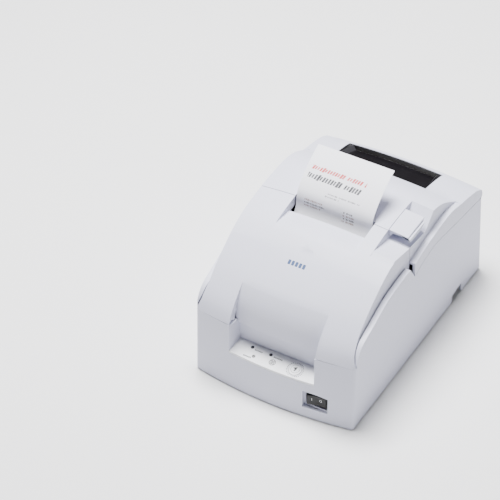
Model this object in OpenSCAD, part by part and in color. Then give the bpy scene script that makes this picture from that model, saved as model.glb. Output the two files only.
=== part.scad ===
// Receipt printer with a ribbon cassette, a drop-in paper roll and a cutter.
// X runs across the width, -Y is the front, Z is up; the origin is on the floor at the middle.

/* [Case] */
// Width over the side walls
case_w = 160; // [150:1:200]
// Depth from the middle of the bowed front to the rear wall
case_d = 248; // [240:1:300]
// Height of the top of the arch above the floor
arch_h = 138.5; // [134:0.5:170]
// Height of the parting line between base and front cover
parting_h = 69; // [66:0.5:72]
// Wall of the plastic shells
wall_t = 2.4; // [1.8:0.1:3]
// Radius of the bowed front, seen from above
bow_r = 430; // [380:5:600]
// Lean of the front wall at the parting line
front_lean = 5.5; // [3:0.5:8]
// Radius of the crown across the width, measured under the arch
crown_axis = 500; // [400:10:800]
// Radius of the upright front corners
corner_r = 3.5; // [2:0.5:6]
// Gap between shells that part
gap = 0.5; // [0.3:0.1:1]

/* [Covers] */
// Place of the crack between the front cover and the roll cover
crack_y = -5; // [-12:1:4]
// Width of the rim strip beside the covers
rim_w = 5; // [4:0.5:7]
// Half width of the front tongue and of the control recess
tongue_hw = 43; // [36:1:46]
// Half width of the paper exit
exit_hw = 39.5; // [39:0.5:44]
// Depth of the paper exit ramp
exit_depth = 6.5; // [4:0.5:8]
// Depth of the thumb ramp in front of the lever
thumb_depth = 9.7; // [7:0.1:11]
// Left side of the thumb ramp and of the lever
lever_x = 53; // [50:0.5:58]
// Length of the cover lever
lever_len = 30; // [24:1:34]
// Left end of the roll window
window_x0 = -51.5; // [-56:0.5:-40]
// Right end of the roll window
window_x1 = 44.5; // [40:0.5:56]

/* [Controls] */
// Diameter of the feed button
button_d = 11.6; // [8:0.2:14]
// Width of the power rocker
rocker_w = 21; // [15:0.5:24]
// Height of the power rocker
rocker_h = 13; // [10:0.5:15]

/* [Paper] */
// Width of the paper
paper_w = 76; // [70:0.5:76]
// Diameter of the paper roll
roll_d = 78; // [50:1:80]
// Inner diameter of the roll bay
bay_d = 83; // [82:0.5:86]
// Diameter of the feed roller
feed_d = 12; // [10:0.5:14]

/* [Mechanism] */
// Half width of the printing mechanism over its side plates
mech_hw = 61.5; // [60:0.5:64]
// Diameter of the carriage guide shaft
shaft_d = 6; // [5:0.5:8]
// Running clearance of shafts in their bores, on the radius
run_gap = 0.05; // [0.02:0.01:0.1]
// Thickness of the steel plates
plate_t = 1.2; // [1:0.1:2]
// Number of teeth of the feed roller gear
feed_teeth = 22; // [16:2:28]
// Number of teeth of the motor pinion
pinion_teeth = 10; // [8:1:12]

/* [Hidden] */
$fn = 64;

shell_colour = [0.87, 0.88, 0.90];
dark_colour = [0.16, 0.16, 0.17];
steel_colour = [0.70, 0.72, 0.74];

// Main planes of the case
front_y = -case_d / 2;
rear_y = case_d / 2;
side_x = case_w / 2;
floor_gap = 1.2;
top_far = arch_h + 60;
side_far = side_x + 20;
cover_hw = side_x - rim_w - 0.8;
front_top_y = front_y + front_lean;
lean_angle = atan(front_lean / parting_h);
axis_y = front_y + bow_r;
valley_y = rear_y - 43;
peak_y = 17;

// ---- curve helpers ----
function lerp(a, b, t) = a + (b - a) * t;
function catmull(a, b, c, d, t) =
    b + 0.5 * t * ((c - a) + t * ((2 * a - 5 * b + 4 * c - d) + t * (3 * (b - c) + d - a)));
function spline(p, n) = [
    for (i = [0 : len(p) - 2])
        for (k = [0 : n - 1])
            catmull(p[max(i - 1, 0)], p[i], p[i + 1], p[min(i + 2, len(p) - 1)], k / n),
    p[len(p) - 1]
];
// Unit vector to the right of the way from a to b
function right_of(a, b) = [b.y - a.y, a.x - b.x] / norm(b - a);
function inset(p, d) = [
    for (i = [0 : len(p) - 1])
        p[i] + d * right_of(p[max(i - 1, 0)], p[min(i + 1, len(p) - 1)])
];
// Height of a path of rising y at a given y
function height_at(p, y) = lookup(y, [for (q = p) [q.x, q.y]]);
function raised(p, dz) = [for (q = p) [q.x, q.y + dz]];
function from_y(p, y0) = concat([[y0, height_at(p, y0)]], [for (q = p) if (q.x > y0) q]);
function until_y(p, y1) = concat([for (q = p) if (q.x < y1) q], [[y1, height_at(p, y1)]]);

// ---- side profiles, as [y, z] points in the middle plane ----
rise = arch_h - parting_h;
run = peak_y - front_top_y;
function front_point(u, v) = [front_top_y + u * run, parting_h + v * rise];
arch_path = spline([
    front_point(0, 0), front_point(0.021, 0.10), front_point(0.052, 0.20),
    front_point(0.110, 0.325), front_point(0.219, 0.51), front_point(0.372, 0.705),
    front_point(0.494, 0.833), front_point(0.63, 0.925), front_point(0.833, 0.984),
    [peak_y, arch_h], [peak_y + 20, arch_h - 0.7], [valley_y - 28, arch_h - 4.9],
    [valley_y - 13.5, arch_h - 13], [valley_y, arch_h - 22.4]
], 3);
hump_path = spline([
    [valley_y, arch_h - 22.4], [valley_y + 14, arch_h - 25.4],
    [valley_y + 29, arch_h - 29.6], [rear_y - 6, arch_h - 33.6],
    [rear_y - 1.6, arch_h - 36.6], [rear_y, arch_h - 41]
], 3);
roof_path = concat(until_y(arch_path, valley_y - 0.5), hump_path);
rim_z = arch_h - 31;
rim_path = spline([
    [front_top_y + 7, parting_h], [front_top_y + 10, parting_h + 7],
    [front_top_y + 14.2, parting_h + 14], [front_top_y + 21.5, parting_h + 20],
    [front_top_y + 40.5, rim_z - 12], [front_top_y + 63.5, rim_z - 4],
    [front_top_y + 87.5, rim_z - 1], [crack_y, rim_z], [crack_y + 26, rim_z + 5],
    [valley_y - 31, rim_z + 8.1], [valley_y - 15, rim_z + 7.5],
    [valley_y, rim_z + 3.4], [valley_y + 23, rim_z - 2.2]
], 3);
tongue_path = spline([
    [front_top_y + 11, parting_h - 2.5], [front_top_y + 13.5, parting_h + 11],
    [front_top_y + 18.5, parting_h + 22.5], [front_top_y + 27, parting_h + 34],
    [front_top_y + 37, parting_h + 44]
], 3);
hinge_y = rear_y - 2;
hinge_z = arch_h - 48.8;
bead_r = 2;
side_parting = spline([
    [crack_y, rim_z - 14], [crack_y + 35, rim_z - 6.6], [rear_y - 51, rim_z - 12.5],
    [hinge_y, hinge_z - bead_r + 0.3]
], 5);

// ---- solids made from the profiles ----
// A side view [y, z] drawn from x0 to x1
module across(x0, x1) {
    translate([x0, 0, 0])
        rotate([90, 0, 90])
            linear_extrude(x1 - x0) children();
}
// A front view [x, z] drawn from y0 to y1
module along(y0, y1) {
    translate([0, y1, 0])
        rotate([90, 0, 0])
            linear_extrude(y1 - y0) children();
}
// All that lies under a side profile, crowned across the width
module crowned(path) {
    span = 28;
    first = path[0];
    last = path[len(path) - 1];
    translate([0, 0, -crown_axis])
        rotate([-90, -90, 0])
            rotate([0, 0, -span / 2])
                rotate_extrude(angle = span, $fn = 720)
                    polygon(concat(
                        [[crown_axis - 5, last.x], [crown_axis - 5, first.x]],
                        [for (p = path) [crown_axis + p.y, p.x]]));
}
// All that lies behind a front profile, bowed in plan
module bowed(path, z0, z1) {
    span = 34;
    inner = 60;
    last = path[len(path) - 1];
    translate([0, axis_y, 0])
        rotate([0, 0, -90 - span / 2])
            rotate_extrude(angle = span, $fn = 720)
                polygon(concat(
                    [[inner, z0], [axis_y - path[0].x, z0]],
                    [for (p = path) [axis_y - p.x, p.y]],
                    [[axis_y - last.x, z1], [inner, z1]]));
}
// The plan of the case with its bowed front and round corners, set in by d
module plan(d) {
    hw = side_x - d;
    r = corner_r - d / 2;
    big = bow_r - d;
    cy = -sqrt(pow(big - r, 2) - pow(hw - r, 2));
    tx = (hw - r) * big / (big - r);
    translate([0, axis_y]) {
        for (s = [-1, 1])
            translate([s * (hw - r), cy]) circle(r);
        translate([-hw, cy]) square([2 * hw, bow_r + case_d]);
        intersection() {
            circle(big, $fn = 720);
            translate([-tx, -big - 1]) square([2 * tx, big]);
        }
    }
}
// The leaning column on that plan, cut off at the rear wall
module column(d) {
    intersection() {
        translate([0, front_y, 0])
            rotate([-lean_angle, 0, 0])
                translate([0, -front_y, -20])
                    linear_extrude(top_far) plan(d);
        translate([-side_far, front_y - 20, -10])
            cube([2 * side_far, case_d + 20 - d, top_far]);
    }
}
module box(x0, x1, y0, y1, z0, z1) {
    translate([x0, y0, z0]) cube([x1 - x0, y1 - y0, z1 - z0]);
}
module rod_x(x0, x1, y, z, r) {
    translate([x0, y, z]) rotate([0, 90, 0]) cylinder(h = x1 - x0, r = r);
}
module rod_y(y0, y1, x, z, r) {
    translate([x, y0, z]) rotate([-90, 0, 0]) cylinder(h = y1 - y0, r = r);
}
module rod_z(z0, z1, x, y, r) {
    translate([x, y, z0]) cylinder(h = z1 - z0, r = r);
}
module both_sides() {
    children();
    mirror([1, 0, 0]) children();
}
// The front view of the front cover, which widens towards the corners
module cover_front_view(d) {
    wide = side_x - 0.6;
    hw = cover_hw + d;
    polygon([
        [-wide - d, parting_h - 20], [wide + d, parting_h - 20], [wide + d, parting_h],
        [lerp(wide, cover_hw, 0.62) + d, parting_h + 10], [hw, parting_h + 23],
        [hw, top_far], [-hw, top_far], [-hw, parting_h + 23],
        [-lerp(wide, cover_hw, 0.62) - d, parting_h + 10], [-wide - d, parting_h]
    ]);
}

// ---- base ----
panel_z = 40.5;
panel_slope = 12;
panel_t = 2;
recess_back_y = front_y + 21.6;
panel_y = front_y + 4.5;
switch_x = 45;
switch_z = 20.5;
switch_face_y = front_y + 6.4;
cover_axis_y = front_top_y + 6;
cover_axis_z = parting_h - 2.8;
cover_pin_r = 1.1;
swing_room = 3;
ear_r = 2.3;
ear_x0 = tongue_hw + 2.6;
ear_t = 2.5;
boss_t = 3;
boss_xy = [
    [-side_x + 7, front_y + 22], [side_x - 7, front_y + 22],
    [-side_x + 7, 0], [side_x - 7, 0],
    [-side_x + 7, rear_y - 8], [side_x - 7, rear_y - 8]
];
boss_r = 4;
boss_h = 16;
screw_r = 1.5;
plate_z = 2.6;
plate_top = plate_z + 1.6;
notch_y0 = rear_y - 55.5;
notch_y1 = rear_y - 36;
notch_h = 10.5;
bay_x = 58;
bay_z0 = 8;
bay_z1 = 48;
deck_z = 78;
deck_t = 2;

// Places things on the sloped panel, x across and y up the slope
module on_panel(x, y) {
    translate([0, panel_y, panel_z])
        rotate([panel_slope, 0, 0])
            translate([x, y, 0]) children();
}
module recess_plan(d) {
    polygon([
        [-tongue_hw + d, front_y - 10], [tongue_hw - d, front_y - 10],
        [tongue_hw - d, front_y + 5], [tongue_hw - 2.4 - d, recess_back_y - d],
        [-tongue_hw + 2.4 + d, recess_back_y - d], [-tongue_hw + d, front_y + 5]
    ]);
}
module case_side_view(d) {
    z0 = floor_gap - (d > 0 ? 5 : 0);
    polygon(concat(
        [[front_y - 20, z0], [rear_y, z0]],
        [for (i = [len(side_parting) - 1 : -1 : 0]) side_parting[i] - [0, d > 0 ? d : gap]],
        [[crack_y - gap, side_parting[0].y - (d > 0 ? d : gap)]],
        [for (i = [len(rim_path) - 1 : -1 : 0])
            if (rim_path[i].x < crack_y - gap) rim_path[i] - [0, d]],
        [[front_y - 20, parting_h - d]]
    ));
}
module case_shell() {
    difference() {
        intersection() {
            column(0);
            across(-side_far, side_far) case_side_view(0);
        }
        intersection() {
            column(wall_t);
            across(-side_far, side_far) case_side_view(wall_t);
        }
        // The open top under both covers
        box(-side_x + wall_t, side_x - wall_t, crack_y - gap - 1, rear_y - wall_t, 30, top_far);
        intersection() {
            column(wall_t);
            box(-cover_hw - 0.8, cover_hw + 0.8, front_y, crack_y, 30, top_far);
        }
        // Room for the front cover at rest, and a little more where it swings up
        for (room = [[60, 0], [45, swing_room], [20, 0.7 * swing_room]])
            along(front_y - 10, front_y + room[0])
                difference() {
                    translate([0, room[1]]) cover_front_view(gap);
                    translate([-side_far, 0]) square([2 * side_far, parting_h]);
                }
        // Round seat of the rear hinge bead
        rod_x(-side_far, side_far, hinge_y, hinge_z, bead_r + 0.3);
        box(-side_far, side_far, hinge_y - 2.3, rear_y + 1, hinge_z - 2.3, top_far);
    }
}
module lower_case() color(shell_colour) {
    floor_z = panel_z - panel_t - 0.1;
    difference() {
        union() {
            case_shell();
            // Walls and floor of the control recess
            intersection() {
                column(0.2);
                difference() {
                    box(-tongue_hw - 2.2, tongue_hw + 2.2, front_y - 5, recess_back_y + 2,
                        floor_z - 2, parting_h - gap);
                    translate([0, 0, floor_z]) linear_extrude(60) recess_plan(0);
                }
            }
            // Shelf behind the recess, under the tongue of the cover
            box(-tongue_hw - 2, tongue_hw + 2, recess_back_y, recess_back_y + 9,
                parting_h - 2 - gap, parting_h - gap);
            // Bosses that hold the pins of the front cover
            both_sides()
                intersection() {
                    column(0.5);
                    box(ear_x0 + ear_t + 0.4, ear_x0 + ear_t + 0.4 + boss_t, front_y,
                        cover_axis_y + 4, cover_axis_z - 8, parting_h - gap);
                }
            // Screw bosses
            for (p = boss_xy) {
                rod_z(plate_top, boss_h, p.x, p.y, boss_r);
                box(min(p.x, sign(p.x) * (side_x - 1)), max(p.x, sign(p.x) * (side_x - 1)),
                    p.y - 1, p.y + 1, plate_top, boss_h);
            }
            // Ledges that carry the roll tub
            both_sides()
                box(side_x - 5, side_x - 1, crack_y + 22, rear_y - 1, deck_z - 3, deck_z);
            // Studs that the cover latch hooks under
            both_sides()
                rod_x(side_x - 13, side_x - 1, latch_y + 11, latch_z - 25, stud_r);
        }
        for (p = boss_xy)
            rod_z(plate_top - 1, boss_h - 2, p.x, p.y, screw_r);
        // Seat and slope of the operation panel
        intersection() {
            translate([0, 0, 20]) linear_extrude(60) recess_plan(0);
            on_panel(0, 0) box(-60, 60, -20, 30, -panel_t - 0.1, 60);
        }
        // Opening under the panel for the board, the lamps and the button
        on_panel(0, 0) box(-36, 36, 0.6, 16.6, -14, 0);
        both_sides()
            rod_x(ear_x0, ear_x0 + ear_t + boss_t + 0.2, cover_axis_y, cover_axis_z,
                cover_pin_r + run_gap);
        both_sides()
            box(ear_x0 - 0.3, ear_x0 + ear_t + 0.4, cover_axis_y - ear_r - 0.3,
                cover_axis_y + ear_r + 3, cover_axis_z - ear_r - 0.4, parting_h + 1);
        // Stepped hole of the power switch
        box(switch_x - rocker_w / 2 - 2.2, switch_x + rocker_w / 2 + 0.8, front_y - 5,
            switch_face_y, switch_z - rocker_h / 2 - 2.4, switch_z + rocker_h / 2 + 2.4);
        box(switch_x - rocker_w / 2 - 0.4, switch_x + rocker_w / 2 + 0.4, front_y - 5,
            front_y + 20, switch_z - rocker_h / 2 - 0.4, switch_z + rocker_h / 2 + 0.4);
        // Cable notches
        across(-side_far, side_far)
            polygon([
                [notch_y0, -1], [notch_y0 + 0.5, 8.5], [notch_y0 + 10.5, notch_h],
                [notch_y1 - 1, notch_h], [notch_y1, 0], [notch_y1, -1]
            ]);
        // Connector opening in the rear wall
        box(-bay_x, bay_x, rear_y - 5, rear_y + 1, -1, bay_z1);
    }
    switch_pocket();
}
module switch_pocket() {
    x0 = switch_x - rocker_w / 2 - 3.6;
    x1 = switch_x + rocker_w / 2 + 2.4;
    z0 = switch_z - rocker_h / 2 - 4;
    z1 = switch_z + rocker_h / 2 + 4;
    difference() {
        intersection() {
            column(0.6);
            box(x0, x1, front_y, switch_face_y + 1.6, z0, z1);
        }
        box(switch_x - rocker_w / 2 - 2.2, switch_x + rocker_w / 2 + 0.8, front_y - 5,
            switch_face_y, switch_z - rocker_h / 2 - 2.4, switch_z + rocker_h / 2 + 2.4);
        box(switch_x - rocker_w / 2 - 0.4, switch_x + rocker_w / 2 + 0.4, front_y - 5,
            front_y + 20, switch_z - rocker_h / 2 - 0.4, switch_z + rocker_h / 2 + 0.4);
    }
}
module base_plate() color(steel_colour)
    difference() {
        box(-side_x + 3.4, side_x - 3.4, front_y + 12, rear_y - 3.2, plate_z, plate_top);
        for (p = boss_xy) rod_z(0, 9, p.x, p.y, screw_r + 0.2);
        for (p = foot_xy) rod_z(0, 9, p.x, p.y, 2.5);
        for (p = stand_xy) rod_z(0, 9, p.x, p.y, screw_r + 0.2);
        both_sides() box(side_x - 12, side_x, notch_y0 - 2, notch_y1 + 2, 0, 9);
        for (x = [-40 : 20 : 40]) box(x - 6, x + 6, -66, -62, 0, 9);
    }
foot_xy = [for (sx = [-1, 1]) for (y = [front_y + 26, rear_y - 20]) [sx * (side_x - 20), y]];
stand_xy = [for (sx = [-1, 1]) for (y = [crack_y - 47, crack_y + 9]) [sx * (mech_hw - 8), y]];
module rubber_feet() color([0.1, 0.1, 0.1])
    for (p = foot_xy) {
        rod_z(0, plate_z, p.x, p.y, 6.5);
        rod_z(plate_z - 0.1, plate_top + 0.1, p.x, p.y, 2.45);
        rod_z(plate_top, plate_top + 1.4, p.x, p.y, 3.4);
    }
module base_screws() color(steel_colour)
    for (p = boss_xy) {
        rod_z(plate_z - 1.3, plate_z, p.x, p.y, 2.8);
        rod_z(plate_z - 0.5, boss_h - 4, p.x, p.y, screw_r - 0.02);
    }

// ---- controls ----
lamp_xy = [[-25.5, 12.8], [-19.8, 4.8], [-6.7, 12.5]];
lamp_r = 1.6;
button_xy = [20.5, 7.6];
module operation_panel() color([0.93, 0.93, 0.94])
    difference() {
        intersection() {
            column(0.15);
            translate([0, 0, 20]) linear_extrude(60) recess_plan(0.15);
            on_panel(0, 0) box(-60, 60, -20, 30, -panel_t, 0);
        }
        for (p = lamp_xy) on_panel(p.x, p.y) rod_z(-5, 5, 0, 0, lamp_r + 0.02);
        on_panel(button_xy.x, button_xy.y) rod_z(-5, 5, 0, 0, button_d / 2 + 0.3);
        on_panel(button_xy.x, button_xy.y)
            difference() {
                rod_z(-0.4, 1, 0, 0, button_d / 2 + 1.6);
                rod_z(-1, 2, 0, 0, button_d / 2 + 1);
            }
    }
module status_lamps() color([0.05, 0.2, 0.1])
    for (p = lamp_xy)
        on_panel(p.x, p.y) {
            rod_z(-panel_t - 1.5, 0.15, 0, 0, lamp_r);
            rod_z(-panel_t - 1.5, -panel_t - 0.1, 0, 0, lamp_r + 0.7);
        }
module panel_board() color([0.1, 0.4, 0.2])
    difference() {
        on_panel(0, 0) box(-34, 34, 1.5, 16, -panel_t - 6.4, -panel_t - 4.8);
        on_panel(button_xy.x, button_xy.y) rod_z(-9, -6, 0, 0, 1.4);
    }
module feed_button() color([0.92, 0.92, 0.93])
    on_panel(button_xy.x, button_xy.y) {
        rod_z(-panel_t - 1, 0.5, 0, 0, button_d / 2);
        rod_z(-panel_t - 1.9, -panel_t - 1, 0, 0, button_d / 2 + 0.9);
        rod_z(-panel_t - 3.4, -panel_t - 1.8, 0, 0, 1.2);
    }
rocker_y = switch_face_y + 2.5;
module switch_housing() color(dark_colour)
    difference() {
        union() {
            box(switch_x - rocker_w / 2 - 0.2, switch_x + rocker_w / 2 + 0.2,
                switch_face_y + 1.6, switch_face_y + 15,
                switch_z - rocker_h / 2 - 0.2, switch_z + rocker_h / 2 + 0.2);
            for (s = [-1, 1])
                box(switch_x + s * 5 - 2.4, switch_x + s * 5 + 2.4, switch_face_y + 14,
                    switch_face_y + 22, switch_z - 0.4, switch_z + 0.4);
        }
        box(switch_x - rocker_w / 2 + 0.6, switch_x + rocker_w / 2 - 0.6,
            switch_face_y, switch_face_y + 9,
            switch_z - rocker_h / 2 + 0.8, switch_z + rocker_h / 2 - 0.8);
        rod_z(switch_z - rocker_h / 2, switch_z + rocker_h / 2, switch_x, rocker_y, 1.05);
    }
module power_rocker() color([0.08, 0.08, 0.08])
    translate([switch_x, rocker_y, switch_z - rocker_h / 2]) {
        hw = rocker_w / 2 - 1.4;
        translate([0, 0, 1.1])
            linear_extrude(rocker_h - 2.2)
                polygon([
                    [-hw, -4.2], [-hw + 1, -4.8], [0, -2.2], [hw - 1, -1.7],
                    [hw, -0.9], [hw, 0.9], [3, 2.2], [-3, 2.2], [-hw, -0.4]
                ]);
        rod_z(0.1, rocker_h - 0.1, 0, 0, 1);
    }

// ---- front cover ----
arch_front_z = parting_h - 12;
inner_roof = inset(roof_path, wall_t);
// The bowed front gives way to the crowned roof at this place
blend_y = front_top_y + 66;
blend_len = 16;
blend_lift = 0.5;
function bow_side(p) = concat(until_y(p, blend_y),
    [[blend_y + 40, height_at(p, blend_y) + 40]]);
function crown_side(p) = [
    for (q = p) [q.x, q.y + blend_lift * min(1, max(0, (blend_y - q.x) / blend_len))]
];
module arch_solid(p) {
    intersection() {
        bowed(bow_side(p), arch_front_z, top_far);
        crowned(crown_side(p));
    }
}
function skirt_line(y0, y1) = [
    for (q = rim_path) if (q.x > y0 && q.x < y1) [q.x, max(q.y - 7, parting_h)]
];
module skirt_cut() {
    pts = skirt_line(front_top_y + 12, crack_y - gap);
    across(-side_far, side_far)
        polygon(concat(
            [[front_y - 20, parting_h], [front_top_y + 12, parting_h]], pts,
            [[crack_y + 1, rim_z - 7], [crack_y + 1, top_far], [front_y - 20, top_far]]));
}
// Floor of a ramp that falls from the surface towards the crack
function ramp_path(y0, y1, depth) = [
    [y0 - 30, height_at(arch_path, y0) - 12], [y0, height_at(arch_path, y0)],
    [y1, height_at(arch_path, y1) - depth], [y1 + 40, height_at(arch_path, y1) - depth]
];
exit_y0 = crack_y - 34.5;
exit_y1 = crack_y - 12.6;
thumb_y0 = crack_y - 27;
exit_floor = ramp_path(exit_y0, exit_y1, exit_depth);
thumb_floor = ramp_path(thumb_y0, crack_y, thumb_depth);
// The room over a ramp floor, d below it
module ramp_room(x0, x1, y0, y1, floor, d) {
    difference() {
        box(x0, x1, y0, y1, arch_h - 50, top_far);
        crowned(raised(floor, -d));
    }
}
module tongue_room(d) {
    difference() {
        box(-tongue_hw - d, tongue_hw + d, front_y - 20, front_top_y + 40,
            arch_front_z - 10, parting_h + 38);
        bowed(inset(tongue_path, d), arch_front_z, top_far);
    }
}
// The foot of the cover's front wall is cut back round the hinge axis, so that it turns
// past the top of the case's wall
function foot_r(x) =
    norm([front_top_y + x * x / (2 * bow_r) - cover_axis_y, parting_h - cover_axis_z]) + 0.2;
module foot_relief()
    both_sides()
        translate([0, cover_axis_y, cover_axis_z])
            rotate([0, 90, 0])
                rotate_extrude()
                    polygon(concat(
                        [[0, tongue_hw - 0.5]],
                        [for (x = [tongue_hw - 0.5 : 6 : side_x - 1]) [foot_r(x), x]],
                        [[0, side_x - 1.5]]));
module front_cover() color(shell_colour) {
    hood_t = wall_t;
    difference() {
        union() {
            difference() {
                intersection() {
                    arch_solid(roof_path);
                    column(0.05);
                    along(front_y - 10, crack_y - gap) cover_front_view(0);
                    skirt_cut();
                }
                difference() {
                    intersection() {
                        arch_solid(inner_roof);
                        along(front_y - 10, crack_y + 5) cover_front_view(-wall_t);
                    }
                    ramp_room(-exit_hw - hood_t, exit_hw + hood_t, exit_y0 - 4, crack_y + 1,
                        exit_floor, hood_t);
                    ramp_room(lever_x - hood_t, side_x, thumb_y0 - 4, crack_y + 1,
                        thumb_floor, hood_t);
                    tongue_room(hood_t);
                }
                foot_relief();
            }
            // Lower lip of the tongue
            intersection() {
                difference() {
                    bowed(tongue_path, arch_front_z, top_far);
                    bowed(inset(tongue_path, hood_t), arch_front_z, top_far);
                }
                union() {
                    translate([0, 0, parting_h - 2.5]) linear_extrude(4) recess_plan(gap);
                    box(-tongue_hw - 0.5, tongue_hw + 0.5, front_y, recess_back_y + 6,
                        parting_h + gap, parting_h + 11);
                }
            }
            // Hinge ears with their pins
            both_sides() {
                rod_x(ear_x0, ear_x0 + ear_t, cover_axis_y, cover_axis_z, ear_r);
                across(ear_x0, ear_x0 + ear_t)
                    polygon([
                        [cover_axis_y + 0.9, cover_axis_z], [cover_axis_y + ear_r, cover_axis_z],
                        [cover_axis_y + ear_r + 3, parting_h + 4],
                        [cover_axis_y - 0.6, parting_h + 4],
                        [cover_axis_y - 1.2, parting_h + 2.6],
                        [cover_axis_y + 1.7, parting_h + 2.3]
                    ]);
                rod_x(ear_x0 + ear_t - 0.5, ear_x0 + ear_t + boss_t, cover_axis_y,
                    cover_axis_z, cover_pin_r);
            }
        }
        ramp_room(-exit_hw, exit_hw, exit_y0 - 5, crack_y + 1, exit_floor, 0);
        ramp_room(lever_x, side_x, thumb_y0 - 5, crack_y + 1, thumb_floor, 0);
        tongue_room(0);
        // Mouth for the paper
        box(-exit_hw, exit_hw, exit_y1, crack_y + 1, arch_h - 60, top_far);
    }
}

// ---- roll cover ----
lever_y0 = crack_y + gap + 0.3;
lever_y1 = lever_y0 + lever_len;
latch_y = lever_y0 + 15;
latch_z = arch_h - 20;
window_y0 = valley_y - 2;
window_y1 = valley_y + 33;
pin_r = 0.8;
lug_x = side_x - 12;
lug_w = 3;
module roof(path, hw, y0, y1) {
    intersection() {
        crowned(path);
        box(-hw, hw, y0, y1, arch_h - 80, top_far);
    }
}
module rim_body(hw, d) {
    across(-hw, hw)
        polygon(concat(
            [for (q = rim_path) if (q.x > crack_y + 0.01 - d && q.x < valley_y + 6) q - [0, d]],
            [[valley_y + 6, rim_z - 40], [crack_y - d, rim_z - 40], [crack_y - d, rim_z - d]]));
}
module roll_shell() {
    intersection() {
        difference() {
            union() {
                roof(roof_path, cover_hw, crack_y, rear_y);
                roof(roof_path, side_x, valley_y, rear_y);
                rim_body(side_x, 0);
            }
            difference() {
                union() {
                    roof(inner_roof, cover_hw - wall_t, crack_y - 1, rear_y - wall_t);
                    intersection() {
                        roof(inner_roof, side_x - wall_t, valley_y, rear_y - wall_t);
                        box(-side_x, side_x, valley_y - 1, rear_y, 0, top_far);
                    }
                    rim_body(side_x - wall_t, wall_t);
                    box(-side_x + wall_t, side_x - wall_t, crack_y - 1, rear_y - 30, 0,
                        rim_z - 5.5);
                    // Under the falling rear corners the roof keeps its thickness
                    intersection() {
                        crowned(raised(inner_roof, -0.3));
                        box(-side_x + wall_t, side_x - wall_t, rear_y - 31, rear_y - wall_t, 0,
                            rim_z - 5.5);
                    }
                }
                lever_pocket(wall_t);
            }
            lever_pocket(0);
        }
        across(-side_far, side_far)
            polygon(concat(side_parting,
                [[rear_y + 1, hinge_z - bead_r], [rear_y + 1, top_far], [crack_y, top_far]]));
        column(0);
    }
}
// Room that the lever sits in, with its finger hollow behind
module lever_pocket(d) {
    x0 = lever_x - d;
    difference() {
        box(x0, side_x - (d > 0 ? 1 : 0), crack_y - 1, lever_y1 + 13 + d, rim_z, top_far);
        crowned(raised([
            [crack_y - 10, arch_h - 11], [lever_y0 + 4, arch_h - 11],
            [lever_y1 - 2, arch_h - 14], [lever_y1 + 13, height_at(arch_path, lever_y1 + 13)],
            [lever_y1 + 40, height_at(arch_path, lever_y1 + 13) + 14]
        ], -d));
    }
}
module roll_cover() color(shell_colour) {
    difference() {
        union() {
            difference() {
                roll_shell();
                box(-side_far, side_far, hinge_y - 2.6, rear_y + 1, rim_z - 60, hinge_z);
            }
            intersection() {
                rod_x(-side_x + 0.1, side_x - 0.1, hinge_y, hinge_z, bead_r);
                column(0);
            }
            box(-side_x + 0.5, side_x - 0.5, rear_y - wall_t, rear_y - 0.05, hinge_z, hinge_z + 4);
            // Brackets of the latch shaft
            for (x = latch_arm_x)
                intersection() {
                    crowned(raised(inner_roof, 0.8));
                    across(x, x + 2.4)
                        polygon([
                            [latch_y - 4, latch_z - 4], [latch_y + 4, latch_z - 4],
                            [latch_y + 6, arch_h], [latch_y - 6, arch_h]
                        ]);
                }
        }
        // Room behind the paper where it leaves
        box(-exit_hw, exit_hw, crack_y - 1, crack_y + 2.4, arch_h - 60, top_far);
        // Window opening
        box(window_x0, window_x1, window_y0, window_y1, arch_h - 60, top_far);
        // Clearance round the hinge lugs of the base
        both_sides() rod_x(lug_x - 0.4, lug_x + lug_w + 0.4, hinge_y, hinge_z, bead_r + 0.5);
        rod_x(-side_x + 5, side_x - 5, hinge_y, hinge_z, pin_r + run_gap);
        rod_x(-hook_x - 1, hook_x + 1, latch_y, latch_z, latch_r + run_gap);
        // Slot for the arm between the lever and the latch shaft
        box(lever_x + 4, lever_x + 10, latch_y - 6.5, latch_y + 6.5, latch_z, arch_h - 8);
    }
}
latch_arm_x = [-cover_hw + 12, lever_x - 8];
latch_r = 2;
stud_r = 1.8;
hook_x = side_x - 11;
window_sink = 5.5;
pane_t = 1.6;
// Smoked tray with sloped ends and a sunk pane over the paper roll
module roll_window() color([0.12, 0.1, 0.1, 0.8]) {
    pane = raised(from_y(roof_path, window_y0 - 8), -window_sink);
    difference() {
        intersection() {
            crowned(raised(from_y(roof_path, window_y0 - 8), -0.6));
            box(window_x0 + 0.1, window_x1 - 0.1, window_y0 + 0.1, window_y1 - 0.1,
                arch_h - 60, top_far);
        }
        crowned(raised(pane, -pane_t));
        difference() {
            along(window_y0 + pane_t, window_y1 - pane_t)
                polygon([
                    [window_x0 + 1, top_far], [window_x0 + 1.6, arch_h - 27],
                    [window_x0 + 10, arch_h - 42], [window_x1 - 10, arch_h - 42],
                    [window_x1 - 1.6, arch_h - 27], [window_x1 - 1, top_far]
                ]);
            crowned(pane);
        }
    }
}
module cover_hinge_pins() color(steel_colour)
    both_sides() rod_x(lug_x - 5, lug_x + lug_w + 4, hinge_y, hinge_z, pin_r);
module cover_lever() color(shell_colour)
    difference() {
        intersection() {
            crowned(roof_path);
            box(lever_x + 0.4, cover_hw, lever_y0, lever_y1, arch_h - 12.5, top_far);
            union() {
                box(lever_x, cover_hw - 2, lever_y0, lever_y1, 0, top_far);
                box(lever_x, side_x, lever_y0, lever_y1, 0, arch_h - 6.4);
            }
            across(0, side_x)
                polygon([
                    [lever_y0, arch_h - 9.4], [lever_y0 + 7, arch_h - 10.4],
                    [lever_y1 - 8, arch_h - 9.5], [lever_y1, arch_h - 5],
                    [lever_y1, top_far], [lever_y0, top_far]
                ]);
        }
        box(lever_x + 2.4, cover_hw - 2.4, lever_y0 - 1, lever_y0 + 4, 0, arch_h - 6.5);
    }
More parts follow.
